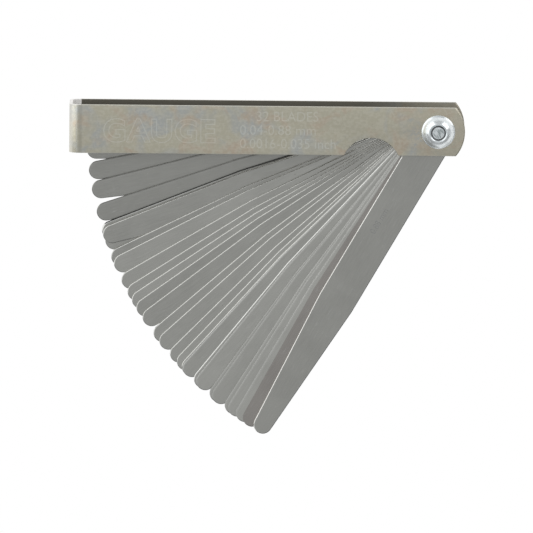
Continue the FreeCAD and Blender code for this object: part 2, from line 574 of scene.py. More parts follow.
@dataclass
class EffectShelf:
    """The effects that the finishes share, each one node group built once."""

    grain: bpy.types.NodeTree = field(init=False)
    smudges: bpy.types.NodeTree = field(init=False)
    specks: bpy.types.NodeTree = field(init=False)
    hairlines: bpy.types.NodeTree = field(init=False)
    strip_edge: bpy.types.NodeTree = field(init=False)
    leaning: bpy.types.NodeTree = field(init=False)

    def __post_init__(self) -> None:
        """Builds every group."""
        self.grain = self._grain()
        self.smudges = self._smudges()
        self.specks = self._specks()
        self.hairlines = self._hairlines()
        self.strip_edge = self._strip_edge()
        self.leaning = self._leaning()

    def _grain(self) -> bpy.types.NodeTree:
        """Fine grinding or rolling grain, drawn out along x."""
        values = {"Vector": (0.0, 0.0, 0.0), "Density": 4.0, "Stretch": 12.0}
        sheet = GroupSheet("grain", values, ["Value"])
        density = sheet.given["Density"]
        along = sheet.math("DIVIDE", density, sheet.given["Stretch"])
        place = sheet.vector("MULTIPLY", sheet.given["Vector"], sheet.merge(along, density, density))
        return sheet.finish({"Value": sheet.noise(place, 1.0, detail=4.0)})

    def _smudges(self) -> bpy.types.NodeTree:
        """Soft-edged patches that cover part of the surface."""
        values = {"Vector": (0.0, 0.0, 0.0), "Size": 8.0, "Cover": 0.5, "Soft": 0.1}
        sheet = GroupSheet("smudges", values, ["Mask"])
        scale = sheet.math("DIVIDE", 1.0, sheet.given["Size"])
        value = sheet.noise(sheet.given["Vector"], scale, detail=4.0, warp=0.7)
        middle = sheet.math("SUBTRACT", 1.0, sheet.given["Cover"])
        low = sheet.math("SUBTRACT", middle, sheet.given["Soft"])
        high = sheet.math("ADD", middle, sheet.given["Soft"])
        return sheet.finish({"Mask": sheet.ease(value, low, high)})

    def _specks(self) -> bpy.types.NodeTree:
        """Small round spots of uneven size, most of them missing."""
        sheet = GroupSheet("specks", {"Vector": (0.0, 0.0, 0.0), "Spacing": 1.0, "Radius": 0.2}, ["Mask"])
        scale = sheet.math("DIVIDE", 1.0, sheet.given["Spacing"])
        cells = sheet.add("TexVoronoi", {"Vector": sheet.given["Vector"], "Scale": scale})
        chance = sheet.ease(sheet.split(cells.outputs["Color"])[0], 0.7, 1.0)
        reach = sheet.math("MULTIPLY", sheet.given["Radius"], chance)
        near = sheet.math("SUBTRACT", reach, cells.outputs["Distance"])
        return sheet.finish({"Mask": sheet.ease(near, 0.0, 0.06)})

    def _hairlines(self) -> bpy.types.NodeTree:
        """Broken fine scratches, drawn out along x."""
        values = {"Vector": (0.0, 0.0, 0.0), "Density": 0.6, "Stretch": 14.0, "Width": 0.012}
        sheet = GroupSheet("hairlines", values, ["Mask"])
        density = sheet.given["Density"]
        along = sheet.math("DIVIDE", density, sheet.given["Stretch"])
        place = sheet.vector("MULTIPLY", sheet.given["Vector"], sheet.merge(along, density, density))
        ridge = sheet.math("ABSOLUTE", sheet.math("SUBTRACT", sheet.noise(place, 1.0, detail=2.0), 0.5))
        line = sheet.ease(ridge, 0.0, sheet.given["Width"], 1.0, 0.0)
        gaps = sheet.ease(sheet.noise(sheet.given["Vector"], 0.23, detail=2.0), 0.5, 0.62)
        return sheet.finish({"Mask": sheet.math("MULTIPLY", line, gaps)})

    def _strip_edge(self) -> bpy.types.NodeTree:
        """Nearness to the edge of a tapered strip with round ends, and the way out of it.

        The strip lies along x from its pivot, in millimetres.
        """
        values = {
            "Vector": (0.0, 0.0, 0.0), "Half width": 5.0, "Straight": 54.0,
            "Tip centre": 92.5, "Tip radius": 2.5, "Band": 0.3,
        }  # fmt: skip
        sheet = GroupSheet("strip_edge", values, ["Mask", "Depth", "Outward"])
        given = sheet.given
        x, y, _ = sheet.split(given["Vector"])
        span = [given[label] for label in ("Straight", "Tip centre", "Half width", "Tip radius")]
        half = sheet.add("MapRange", dict(enumerate([x, *span]))).outputs[0]
        past = sheet.math("MAXIMUM", sheet.math("SUBTRACT", x, given["Tip centre"]), 0.0)
        before = sheet.math("MINIMUM", x, 0.0)
        out = sheet.merge(sheet.math("ADD", past, before), y, 0.0)
        depth = sheet.math("SUBTRACT", half, sheet.length(out))
        mask = sheet.ease(depth, 0.0, given["Band"], 1.0, 0.0)
        return sheet.finish({"Mask": mask, "Depth": depth, "Outward": sheet.vector("NORMALIZE", out)})

    def _leaning(self) -> bpy.types.NodeTree:
        """A surface normal that leans towards a direction on the piece, as on a rounded edge."""
        sheet = GroupSheet("leaning", {"Outward": (0.0, 0.0, 0.0), "Amount": 0.5}, ["Normal"])
        spaces = {"vector_type": "VECTOR", "convert_from": "OBJECT", "convert_to": "WORLD"}
        world = sheet.add("VectorTransform", {0: sheet.given["Outward"]}, **spaces).outputs[0]
        lean = sheet.scaled(world, sheet.given["Amount"])
        facing = sheet.add("NewGeometry").outputs["Normal"]
        return sheet.finish({"Normal": sheet.vector("NORMALIZE", sheet.vector("ADD", facing, lean))})


# ---------------------------------------------------------------- finishes


class Finish:
    """What every finish shares: a material with one Principled shader and millimetre coordinates."""

    name: str

    def start(self) -> tuple[bpy.types.Material, NodeSheet, bpy.types.Node, Socket]:
        """Makes an empty material.

        Returns:
            The material, its node sheet, its shader and the piece's own coordinates in millimetres.
        """
        material = bpy.data.materials.new(self.name)
        material.use_nodes = True
        sheet = NodeSheet(material.node_tree)
        material.node_tree.nodes.clear()
        shader = sheet.add("BsdfPrincipled")
        sheet.add("OutputMaterial", {"Surface": shader.outputs[0]})
        place = sheet.scaled(sheet.add("TexCoord").outputs["Object"], 1 / MM)
        return material, sheet, shader, place

    @staticmethod
    def effect(sheet: NodeSheet, tree: bpy.types.NodeTree, place: Socket, **values: float) -> Socket:
        """Places one shared effect and gives its first output.

        Args:
            sheet: The material's node sheet.
            tree: The effect.
            place: Where on the piece it is read.
            values: Its other inputs by name, in lower case.

        Returns:
            The effect's mask or value.
        """
        inputs = {"Vector": place, **{name.capitalize(): value for name, value in values.items()}}
        return sheet.group(tree, inputs).outputs[0]


@dataclass(frozen=True)
class NickelSheet(Finish):
    """Dull nickel plate on rolled sheet, warm grey, with faint blue and tan tarnish.

    The places are in millimetres: the case's lowest x and z, its highest y and z, and its bends and nose.
    """

    name: str = "nickel_sheet"
    base: Colour = (0.605, 0.575, 0.455)
    blue: Colour = (0.53, 0.55, 0.54)
    tan: Colour = (0.62, 0.52, 0.405)
    pivot_stain: Colour = (0.56, 0.50, 0.39)
    # painted shade: the inner faces of the cheeks darkened to stand for the shade inside the fold
    inside: Colour = (0.15, 0.14, 0.115)
    rolled: Colour = (0.40, 0.39, 0.33)
    bloom: Colour = (0.76, 0.73, 0.62)
    speck: Colour = (0.28, 0.26, 0.22)
    scratch: Colour = (0.80, 0.78, 0.70)
    # lighter edge colour: partly rubbed plate, partly a painted highlight
    rubbed_edge_sheen: Colour = (0.74, 0.73, 0.66)
    # painted shade along the start of the bend
    fold_shade: Colour = (0.20, 0.19, 0.16)
    # painted highlight for the inside and cut edges of the bend
    bare: Colour = (0.95, 0.93, 0.90)
    fold_shine: Colour = (0.95, 0.94, 0.90)
    low: Pair = (0.0, 0.0)
    high: Pair = (0.0, 0.0)
    bend: float = 0.0
    wall: float = 0.0
    nose_centre: float = 0.0
    nose_radius: float = 0.0
    roughness: float = 0.36

    def build(self, shelf: EffectShelf) -> bpy.types.Material:
        """Makes the material.

        Args:
            shelf: The shared effects.

        Returns:
            The material.
        """
        material, sheet, shader, place = self.start()
        shifted = sheet.vector("ADD", place, (31.0, 7.0, 0.0))
        blue = self.effect(sheet, shelf.smudges, place, size=9.0, cover=0.42, soft=0.12)
        tan = self.effect(sheet, shelf.smudges, shifted, size=6.0, cover=0.40, soft=0.1)
        grain = self.effect(sheet, shelf.grain, place, density=5.0, stretch=16.0)
        mottle = sheet.noise(place, 1.3, detail=5.0)
        specks = self.effect(sheet, shelf.specks, place, spacing=1.6, radius=0.12)
        lines = self.effect(sheet, shelf.hairlines, place, density=0.9, width=0.01)
        x, y, z = sheet.split(place)
        reach = sheet.length(sheet.merge(x, y, 0.0))
        stain = sheet.ease(reach, 4.5, 13.0, 0.75, 0.0)
        stain = sheet.math("MULTIPLY", stain, sheet.ease(mottle, 0.35, 0.6))
        # Lighter band along the cheeks' long edges: partly rubbed plate, partly a painted highlight where
        # the rounded edge catches the light.
        rim = sheet.ease(sheet.math("ABSOLUTE", y), self.high[0] - 0.28, self.high[0] - 0.1)
        inner, worn = self._inner_skin(sheet, x, y, z)
        # Painted shade: a darker line across the outer face where the bend starts.
        fold_shade_mask = sheet.math("ABSOLUTE", sheet.math("SUBTRACT", x, self.low[0] + self.bend + 0.15))
        fold_shade_mask = sheet.ease(fold_shade_mask, 0.15, 0.75, 0.22, 0.0)
        colour = sheet.blend(sheet.math("MULTIPLY", blue, 0.95), self.base, self.blue)
        colour = sheet.blend(sheet.math("MULTIPLY", tan, 0.9), colour, self.tan)
        colour = sheet.blend(stain, colour, self.pivot_stain)
        colour = sheet.blend(sheet.ease(grain, 0.3, 0.7, 0.0, 0.16), colour, self.rolled)
        colour = sheet.blend(sheet.ease(mottle, 0.42, 0.62, 0.0, 0.3), colour, self.bloom)
        colour = sheet.blend(sheet.math("MULTIPLY", specks, 0.35), colour, self.speck)
        colour = sheet.blend(sheet.math("MULTIPLY", lines, 0.25), colour, self.scratch)
        colour = sheet.blend(sheet.math("MULTIPLY", rim, 0.5), colour, self.rubbed_edge_sheen)
        colour = sheet.blend(fold_shade_mask, colour, self.fold_shade)
        end_wall = sheet.ease(x, self.low[0] + 1.5, self.low[0] + 0.4, 0.0, 0.4)
        colour = sheet.blend(end_wall, colour, self.fold_shine)
        # Painted shade on the inner faces of the cheeks.
        colour = sheet.blend(inner, colour, self.inside)
        # Painted highlight: the inside and cut edges of the bend made near-white, standing for a bright
        # reflection there.
        colour = sheet.blend(worn, colour, self.bare)
        nose = sheet.vector("SUBTRACT", sheet.merge(x, y, 0.0), (self.nose_centre, 0.0, 0.0))
        near = sheet.ease(sheet.length(nose), self.nose_radius - 0.4, self.nose_radius - 0.1)
        near = sheet.math("MULTIPLY", near, sheet.ease(x, 4.0, 4.8))
        lean = sheet.scaled(sheet.vector("NORMALIZE", nose), sheet.math("MULTIPLY", near, 0.75))
        normal = sheet.group(shelf.leaning, {"Outward": lean, "Amount": 1.0}).outputs[0]
        height = sheet.math("ADD", sheet.math("MULTIPLY", grain, 0.6), sheet.math("MULTIPLY", mottle, 0.8))
        bump = sheet.add(
            "Bump", {"Height": height, "Strength": 0.12, "Distance": 0.05 * MM, "Normal": normal}
        )
        rough = sheet.ease(grain, 0.2, 0.8, self.roughness - 0.05, self.roughness + 0.08)
        # The painted highlight in the bend is also made less metallic, so it stays near-white.
        metal = sheet.math("SUBTRACT", 1.0, sheet.math("MULTIPLY", worn, 0.8))
        values = {
            "Base Color": colour, "Metallic": metal, "Roughness": rough, "Normal": bump.outputs[0],
        }  # fmt: skip
        sheet.feed(shader, values)
        return material

    def _inner_skin(
        self, sheet: NodeSheet, x: Socket, y: Socket, z: Socket
    ) -> tuple[Socket, Socket]:
        """Finds the inner faces of the cheeks, for painted shade, and the inside and edges of the bend,
        for a painted highlight.

        Args:
            sheet: The material's node sheet.
            x: The place along the case.
            y: The place across it.
            z: The place through its depth.

        Returns:
            The mask of the oily faces and the mask of the bright ones.
        """
        middle, half = (self.high[1] + self.low[1]) / 2, (self.high[1] - self.low[1]) / 2
        fold = self.low[0] + self.bend
        up = sheet.math("ABSOLUTE", sheet.math("SUBTRACT", z, middle))
        up = sheet.math("MAXIMUM", sheet.math("SUBTRACT", up, half - self.bend), 0.0)
        back = sheet.math("MAXIMUM", sheet.math("SUBTRACT", fold, x), 0.0)
        depth = sheet.length(sheet.merge(back, 0.0, up))
        inner = sheet.ease(depth, self.bend - self.wall + 0.1, self.bend - self.wall + 0.03)
        in_bend = sheet.ease(x, fold + 0.45, fold + 0.15)
        # The painted shade eases off towards the open nose, where the inside looks out of the case.
        shade_share = sheet.ease(x, -22.0, 5.0, 0.97, 0.55)
        cut = sheet.ease(sheet.math("ABSOLUTE", y), self.high[0] - 0.05, self.high[0] - 0.02)
        painted_shade = sheet.math("MULTIPLY", inner, shade_share)
        painted_shade = sheet.math("MULTIPLY", painted_shade, sheet.math("SUBTRACT", 1.0, in_bend))
        return painted_shade, sheet.math("MULTIPLY", sheet.math("MAXIMUM", inner, cut), in_bend)

    def pressed(self) -> NickelSheet:
        """Gives the brighter finish of the floor of a stamped mark: partly pressed metal, partly a painted
        highlight that brings the letters out.
        """
        return replace(
            self,
            name="pressed_nickel",
            base=(0.72, 0.70, 0.60),
            blue=(0.66, 0.69, 0.67),
            tan=(0.76, 0.67, 0.55),
            roughness=0.3,
        )


@dataclass(frozen=True)
class BrightZinc(Finish):
    """Bright bluish zinc plate over turned steel, with rings from the lathe.

    The places are in millimetres: the top of the nut, the top of the cheek, and radii round the pivot.
    """

    name: str = "bright_zinc"
    base: Colour = (0.95, 0.99, 1.0)
    dull: Colour = (0.68, 0.745, 0.77)
    # painted shade for the walls of the thread gap
    gap_shade: Colour = (0.17, 0.175, 0.175)
    stained: Colour = (0.66, 0.73, 0.77)
    speck: Colour = (0.3, 0.34, 0.36)
    scratch: Colour = (0.95, 0.97, 1.0)
    brushed_end: Colour = (0.42, 0.47, 0.47)
    roughness: float = 0.27
    ring_density: float = 5.0
    gap: Pair = (1.74, 2.02)
    nut_top: float = 0.0
    cheek_top: float = 0.0
    gap_below: float = 0.27
    shoulder: Pair = (3.9, 4.35)

    def build(self, shelf: EffectShelf) -> bpy.types.Material:
        """Makes the material.

        Args:
            shelf: The shared effects.

        Returns:
            The material.
        """
        material, sheet, shader, place = self.start()
        x, y, z = sheet.split(place)
        reach = sheet.length(sheet.merge(x, y, 0.0))
        round_way = sheet.math("ARCTAN2", y, x)
        ringed = sheet.merge(sheet.math("MULTIPLY", round_way, 0.6), reach, sheet.math("MULTIPLY", z, 0.8))
        rings = self.effect(sheet, shelf.grain, ringed, density=self.ring_density, stretch=5.0)
        smudge = self.effect(sheet, shelf.smudges, place, size=1.6, cover=0.45, soft=0.14)
        specks = self.effect(sheet, shelf.specks, place, spacing=0.7, radius=0.2)
        lines = self.effect(sheet, shelf.hairlines, place, density=2.2, stretch=6.0, width=0.02)
        colour = sheet.blend(sheet.ease(rings, 0.35, 0.7, 0.0, 0.32), self.base, self.dull)
        colour = sheet.blend(sheet.math("MULTIPLY", smudge, 0.16), colour, self.stained)
        colour = sheet.blend(sheet.math("MULTIPLY", specks, 0.5), colour, self.speck)
        colour = sheet.blend(sheet.math("MULTIPLY", lines, 0.5), colour, self.scratch)
        # Painted shade: the walls of the thread gap round the screw's end darkened, standing for the shade
        # down in the gap.
        inside = sheet.ease(reach, self.gap[0] - 0.03, self.gap[0])
        gap_top = self.nut_top - self.gap_below
        inside = sheet.math("MULTIPLY", inside, sheet.ease(z, gap_top, gap_top - 0.12))
        inside = sheet.math("MULTIPLY", inside, sheet.ease(reach, self.gap[1] + 0.4, self.gap[1] + 0.3))
        colour = sheet.blend(sheet.math("MULTIPLY", inside, 0.9), colour, self.gap_shade)
        slanted = sheet.add("Mapping", {"Vector": place, "Rotation": (0.0, 0.0, 0.9)}).outputs[0]
        hatch = self.effect(sheet, shelf.grain, slanted, density=4.5, stretch=5.0)
        end = sheet.ease(reach, 1.5, 1.35, 0.0, 1.0)
        end = sheet.math("MULTIPLY", end, sheet.ease(hatch, 0.4, 0.6))
        colour = sheet.blend(end, colour, self.brushed_end)
        height = sheet.math("ADD", rings, sheet.math("MULTIPLY", sheet.noise(place, 6.0), 0.5))
        shoulder = sheet.math("MULTIPLY", sheet.ease(reach, self.shoulder[0], self.shoulder[1]), 0.7)
        outside = sheet.ease(z, self.cheek_top - 0.13, self.cheek_top + 0.07)
        lean = sheet.merge(0.0, 0.0, sheet.math("MULTIPLY", shoulder, outside))
        normal = sheet.group(shelf.leaning, {"Outward": lean, "Amount": 1.0}).outputs[0]
        bump = sheet.add(
            "Bump", {"Height": height, "Strength": 0.13, "Distance": 0.05 * MM, "Normal": normal}
        )
        rough = sheet.ease(smudge, 0.0, 1.0, self.roughness - 0.04, self.roughness + 0.12)
        values = {
            "Base Color": colour, "Metallic": 0.8, "Roughness": rough, "Normal": bump.outputs[0],
        }  # fmt: skip
        sheet.feed(shader, values)
        return material


@dataclass(frozen=True)
class SpringSteel(Finish):
    """Ground spring steel with polished, rounded edges, for one blade, with a painted highlight on its
    edge band and painted shade lines along its edges.
    """

    name: str = "spring_steel"
    turn: float = 0.0
    tone: float = 1.0
    bow: float = 0.0
    # shine: how strong the edge's painted highlight is
    shine: float = 1.0
    # gap and outline: strengths of the painted shade lines along the upper and lower edges
    gap: float = 0.0
    outline: float = 0.5
    base: Colour = (0.45, 0.448, 0.418)
    polished_highlight: Colour = (0.72, 0.72, 0.695)
    roughness: float = 0.34
    edge_band: float = 0.36
    edge_lean: float = 0.8
    # painted shade for the lines along the edges
    oil: Colour = (0.035, 0.035, 0.033)
    speck: Colour = (0.2, 0.19, 0.17)
    scratch: Colour = (0.7, 0.7, 0.68)

    def build(self, shelf: EffectShelf) -> bpy.types.Material:
        """Makes the material.

        Args:
            shelf: The shared effects.

        Returns:
            The material.
        """
        material, sheet, shader, place = self.start()
        heading = self.turn + math.pi
        local = sheet.add("Mapping", {"Vector": place, "Rotation": (0.0, 0.0, -heading)}).outputs[0]
        band = self.edge_band + 0.25 * self.gap + 0.45 * (1.0 - self.shine)
        edge = sheet.group(shelf.strip_edge, {"Vector": local, "Band": band})
        outward = edge.outputs["Outward"]
        # Painted shade: a dark line along the upper edge for the shaded gap where the blade lies on the
        # next, and a dark outline on the lower edges.
        upper = sheet.ease(sheet.split(outward)[1], -0.95, -0.8, 1.0, 0.0)
        lower = sheet.ease(sheet.split(outward)[1], -0.45, -0.1, 0.0, self.outline)
        painted_shade = sheet.math("MULTIPLY", sheet.ease(edge.outputs["Depth"], 0.12, 0.3, self.gap, 0.0), upper)
        rim = sheet.math("MULTIPLY", sheet.ease(edge.outputs["Depth"], 0.05, 0.3, 1.0, 0.0), lower)
        painted_shade = sheet.math("MAXIMUM", painted_shade, rim)
        bright = sheet.math("SUBTRACT", self.shine, sheet.math("MULTIPLY", painted_shade, self.shine))
        mask = sheet.math("MULTIPLY", edge.outputs["Mask"], bright)
        across = sheet.merge(0.0, sheet.math("MULTIPLY", sheet.split(local)[1], self.bow / 5), 0.0)
        lean = sheet.scaled(outward, sheet.math("MULTIPLY", mask, self.edge_lean))
        lean = sheet.vector("ADD", lean, across)
        turned_back = sheet.add("Mapping", {"Vector": lean, "Rotation": (0.0, 0.0, heading)}).outputs[0]
        normal = sheet.group(shelf.leaning, {"Outward": turned_back, "Amount": 1.0}).outputs[0]
        grain = self.effect(sheet, shelf.grain, local, density=6.0, stretch=22.0)
        cloud = self.effect(sheet, shelf.smudges, place, size=12.0, cover=0.5, soft=0.2)
        specks = self.effect(sheet, shelf.specks, place, spacing=2.4, radius=0.1)
        lines = self.effect(sheet, shelf.hairlines, local, density=1.1, width=0.008)
        tone = tuple(min(1.0, c * self.tone) for c in self.base)
        darker, lighter = tuple(c * 0.82 for c in tone), tuple(min(1.0, c * 1.12) for c in tone)
        colour = sheet.blend(sheet.ease(grain, 0.3, 0.7, 0.0, 0.55), tone, darker)
        colour = sheet.blend(sheet.math("MULTIPLY", cloud, 0.4), colour, lighter)
        colour = sheet.blend(sheet.math("MULTIPLY", specks, 0.4), colour, self.speck)
        colour = sheet.blend(sheet.math("MULTIPLY", lines, 0.3), colour, self.scratch)
        # Painted highlight: the edge band lightened towards a near-white steel.
        colour = sheet.blend(mask, colour, self.polished_highlight)
        # The painted shade lines along the edges, near-black.
        colour = sheet.blend(painted_shade, colour, self.oil)
        bump = sheet.add(
            "Bump", {"Height": grain, "Strength": 0.12, "Distance": 0.03 * MM, "Normal": normal}
        )
        rough = sheet.ease(mask, 0.0, 1.0, self.roughness, 0.22)
        values = {
            "Base Color": colour, "Metallic": 1.0, "Roughness": rough, "Normal": bump.outputs[0],
        }  # fmt: skip
        sheet.feed(shader, values)
        return material


@dataclass(frozen=True)
class EtchedMark(Finish):
    """Dull grey oxide left where a number is etched into a blade."""

    name: str = "etched_mark"
    base: Colour = (0.35, 0.35, 0.335)
    worn: Colour = (0.40, 0.40, 0.39)

    def build(self, shelf: EffectShelf) -> bpy.types.Material:
        """Makes the material.

        Args:
            shelf: The shared effects.

        Returns:
            The material.
        """
        material, sheet, shader, place = self.start()
        worn = self.effect(sheet, shelf.smudges, place, size=0.5, cover=0.5, soft=0.2)
        colour = sheet.blend(worn, self.base, self.worn)
        pits = sheet.noise(place, 9.0)
        bump = sheet.add("Bump", {"Height": pits, "Strength": 0.3, "Distance": 0.02 * MM})
        rough = sheet.ease(worn, 0.0, 1.0, 0.6, 0.45)
        values = {
            "Base Color": colour, "Metallic": 0.8, "Roughness": rough, "Normal": bump.outputs[0],
        }  # fmt: skip
        sheet.feed(shader, values)
        return material


# ---------------------------------------------------------------- the gauge


WORD = Line("GAUGE", 29.5 * MM, 5.9 * MM, 1.12)


@dataclass(frozen=True)
class StampedLine:
    """One line of text pressed into the front cheek, placed from the pivot."""

    line: Line
    place: Pair
    cut: Cut
    depth: float = 0.1 * MM
    groove: float = 0.28 * MM
    weight: float = 0.0


@dataclass
class FoldedCase:
    """One strip of plated sheet folded into a U, with a thumb notch, a pivot hole and an arched nose."""

    low: Vector
    high: Vector
    sheet: float = 0.9 * MM
    inner_bend: float = 1.9 * MM
    nose_corner: float = 4.8 * MM
    notch_radius: float = 8.0 * MM
    notch_depth: float = 4.75 * MM
    notch_distance: float = 18.0 * MM
    hole_radius: float = 2.08 * MM
    edge_round: float = 0.13 * MM
    bend_steps: int = 14
    marks: tuple[StampedLine, ...] = (
        StampedLine(WORD, (-75.1 * MM, -0.35 * MM), Cut.OUTLINE, weight=0.12 * MM),
        StampedLine(Line("32 BLADES", 16.6 * MM, 2.7 * MM), (-40.6 * MM, 3.8 * MM), Cut.SOLID),
        StampedLine(Line("0.04-0.88 mm", 20.4 * MM, 2.7 * MM), (-43.2 * MM, 0.1 * MM), Cut.SOLID),
        StampedLine(Line("0.0016-0.035 inch", 25.8 * MM, 2.7 * MM), (-40.5 * MM, -3.55 * MM), Cut.SOLID),
    )

    def build(self) -> Solid:
        """Makes the case.

        Returns:
            The finished solid.
        """
        case = self._skin()
        for height in (self.high.z, self.low.z):
            self._add_nose(case, height)
        case.tidied().modified("SOLIDIFY", thickness=self.sheet, offset=-1.0, use_even_offset=True)
        case.carved(*self._cutters()).tidied(0.02 * MM)
        case.modified(
            "BEVEL", width=self.edge_round, segments=3, limit_method="ANGLE", angle_limit=math.radians(35)
        )
        for mark in self.marks:
            self._stamp(case, mark)
        return case.smoothed(32)

    def _skin(self) -> Solid:
        """Folds the outer face: front cheek, bend, end wall, bend and back cheek."""
        bend = self.inner_bend + self.sheet
        start = self.low.x + bend
        left = Vector((start, self.low.y, self.high.z))
        skin = Solid.plate("folded_case", left, Vector((self.nose_corner, self.high.y, self.high.z)))
        skin.pick(lambda place: abs(place.x - start) < NEAR)
        turn, way = Vector((0, 1, 0)), -math.pi / 2
        skin.spin(Vector((start, 0, self.high.z - bend)), turn, way, self.bend_steps)
        skin.extrude(Vector((0, 0, -(self.high.z - self.low.z - 2 * bend))))
        skin.spin(Vector((start, 0, self.low.z + bend)), turn, way, self.bend_steps)
        skin.extrude(Vector((self.nose_corner - start, 0, 0)))
        return skin

    def _add_nose(self, case: Solid, height: float) -> None:
        """Adds the arched nose to the cheek at a height."""
        half, radius = self.high.y, self.nose_radius
        centre = Vector((self.high.x - radius, 0, height))
        corner = Vector((self.nose_corner, half, height))
        case.pick(lambda place: (place - corner).length < NEAR)
        case.spin(centre, Vector((0, 0, 1)), -2 * math.asin(half / radius), 36)
        case.tidied()
        case.pick(lambda place: place.x > self.nose_corner - NEAR and abs(place.z - height) < NEAR)
        case.fill()

    @property
    def nose_radius(self) -> float:
        """The radius of the nose's arch, from its corners and its reach past the pivot."""
        rise = self.high.x - self.nose_corner
        return (self.high.y**2 + rise**2) / (2 * rise)

    def finish(self) -> NickelSheet:
        """Gives the finish that fits this case.

        Returns:
            The finish, with its places in millimetres.
        """
        return NickelSheet(
            low=(self.low.x / MM, self.low.z / MM),
            high=(self.high.y / MM, self.high.z / MM),
            bend=(self.inner_bend + self.sheet) / MM,
            wall=self.sheet / MM,
            nose_centre=(self.high.x - self.nose_radius) / MM,
            nose_radius=self.nose_radius / MM,
        )

    def _cutters(self) -> list[Solid]:
        """Makes the cutters for the pivot hole and the thumb notch."""
        foot = self.low.z - 1 * MM
        height = self.high.z - self.low.z + 2 * MM
        across = self.low.y + self.notch_depth - self.notch_radius
        notch = Vector((-self.notch_distance, across, foot))
        hole = Solid.post("hole_cutter", self.hole_radius, Vector((0, 0, foot)), height, 96)
        return [hole, Solid.post("notch_cutter", self.notch_radius, notch, height, 200)]

    def _stamp(self, case: Solid, mark: StampedLine) -> None:
        """Presses one line of text into the front cheek."""
        place = Matrix.Translation((*mark.place, self.high.z))
        deep, edge = 2 * mark.depth, mark.weight + mark.groove
        if mark.cut is Cut.OUTLINE:
            case.carved(Solid.text("letter_cutter", mark.line, deep, place, edge))
            sunk = Matrix.Translation((0, 0, -1.5 * mark.depth)) @ place
            case.joined(Solid.text("letter_core", mark.line, 1.5 * deep, sunk, mark.weight))
        else:
            case.carved(Solid.text("letter_cutter", mark.line, deep, place, mark.weight))

    def pressed_faces(self, case: Solid) -> list[bpy.types.MeshPolygon]:
        """Finds the floors of the stamped marks."""
        depth, side = self.marks[0].depth, self.high.y - 3 * self.edge_round
        return [
            face
            for face in case.obj.data.polygons
            if face.normal.z > 0.9
            and depth / 2 < self.high.z - face.center.z < 1.5 * depth
            and face.center.x < -2 * self.notch_radius
            and abs(face.center.y) < side
        ]


@dataclass
class DomedNut:
    """A round domed nut with a through hole, turned and plated."""

    low: Vector
    high: Vector
    rim_height: float = 0.6 * MM
    foot_break: float = 0.12 * MM
    hole_radius: float = 2.02 * MM
    top_ring: float = 0.48 * MM
    mouth: float = 0.3 * MM
    thread_depth: float = 0.16 * MM
    thread_pitch: float = 0.5 * MM
    swell: float = 0.09
    dome_steps: int = 16
    segments: int = 128

    def build(self) -> Solid:
        """Turns the nut.

        Returns:
            The finished solid.
        """
        return turned("turned_nut", self._profile(), self.segments, hollow=True).smoothed(35)

    def _profile(self) -> list[Pair]:
        """Goes up the outside, over the dome and down the threaded hole."""
        outer, top = self.high.x, self.high.z
        rim, crown = self.low.z + self.rim_height, self.hole_radius + self.top_ring
        foot = self.low.z + self.foot_break
        profile = [(outer - self.foot_break, self.low.z), (outer, foot), (outer, rim - 0.1 * MM)]
        profile += self._dome((outer, rim), (crown, top))
        profile += [(self.hole_radius + self.mouth, top), (self.hole_radius, top - self.mouth)]
        height = top - self.mouth
        while height - self.thread_pitch > self.low.z + self.mouth:
            profile.append((self.hole_radius + self.thread_depth, height - 0.5 * self.thread_pitch))
            height -= self.thread_pitch
            profile.append((self.hole_radius, height))
        profile.append((self.hole_radius, self.low.z))
        return profile

    def _dome(self, rim: Pair, crown: Pair) -> list[Pair]:
        """Swells a cone slightly, from the rim up to the flat ring at the top."""
        run, rise = crown[0] - rim[0], crown[1] - rim[1]
        points = []
        for step in range(self.dome_steps + 1):
            share = step / self.dome_steps
            swell = self.swell * 4 * share * (1 - share)
            points.append((rim[0] + run * share + swell * rise, rim[1] + rise * share - swell * run))
        return points


@dataclass
class PivotScrew:
    """A screw with a low round head and a cross recess below, and a stepped, chamfered end above."""

    low: Vector
    high: Vector
    head_height: float = 2.2 * MM
    head_round: float = 0.7 * MM
    shank_radius: float = 2.0 * MM
    end_radius: float = 1.75 * MM
    end_length: float = 1.1 * MM
    end_chamfer: float = 0.25 * MM
    recess_span: float = 4.2 * MM
    recess_width: float = 1.0 * MM
    recess_depth: float = 1.3 * MM
    segments: int = 128

    def build(self) -> Solid:
        """Turns the screw and cuts its recess.

        Returns:
            The finished solid.
        """
        screw = turned("turned_screw", self._profile(), self.segments, hollow=False)
        return screw.carved(*self._recess()).smoothed(35)

    def _profile(self) -> list[Pair]:
        """Goes up from the head's flat face to the end."""
        head, round_ = self.high.x, self.head_round
        top = self.high.z
        corner = (head - round_, self.low.z + round_)
        profile = arc(corner, round_, -90, 0, 8)
        profile += [(head, self.head_height - 0.1 * MM), (head - 0.1 * MM, self.head_height)]
        profile += [(self.shank_radius, self.head_height), (self.shank_radius, top - self.end_length)]
        profile += [(self.end_radius, top - self.end_length), (self.end_radius, top - self.end_chamfer)]
        profile += [(self.end_radius - 0.7 * self.end_chamfer, top - 0.07 * self.end_chamfer)]
        profile += [(self.end_radius - self.end_chamfer, top)]
        return profile

    def _recess(self) -> list[Solid]:
        """Makes the two tapered wings that cut the cross recess."""
        wings = []
        for number in range(2):
            low = Vector((-self.recess_span / 2, -self.recess_width / 2, self.low.z - 0.2 * MM))
            high = Vector((self.recess_span / 2, self.recess_width / 2, self.low.z - 0.2 * MM))
            wing = Solid.plate(f"recess_wing_{number}", low, high).pick(lambda place: True)
            wing.extrude(Vector((0, 0, self.recess_depth + 0.2 * MM)))
            bpy.ops.transform.resize(value=(0.62, 0.7, 1), center_override=(0, 0, 0))
            bpy.ops.mesh.select_all(action="SELECT")
            if number:
                bpy.ops.transform.rotate(value=math.pi / 2, orient_axis="Z", center_override=(0, 0, 0))
            wings.append(wing.tidied())
        return wings


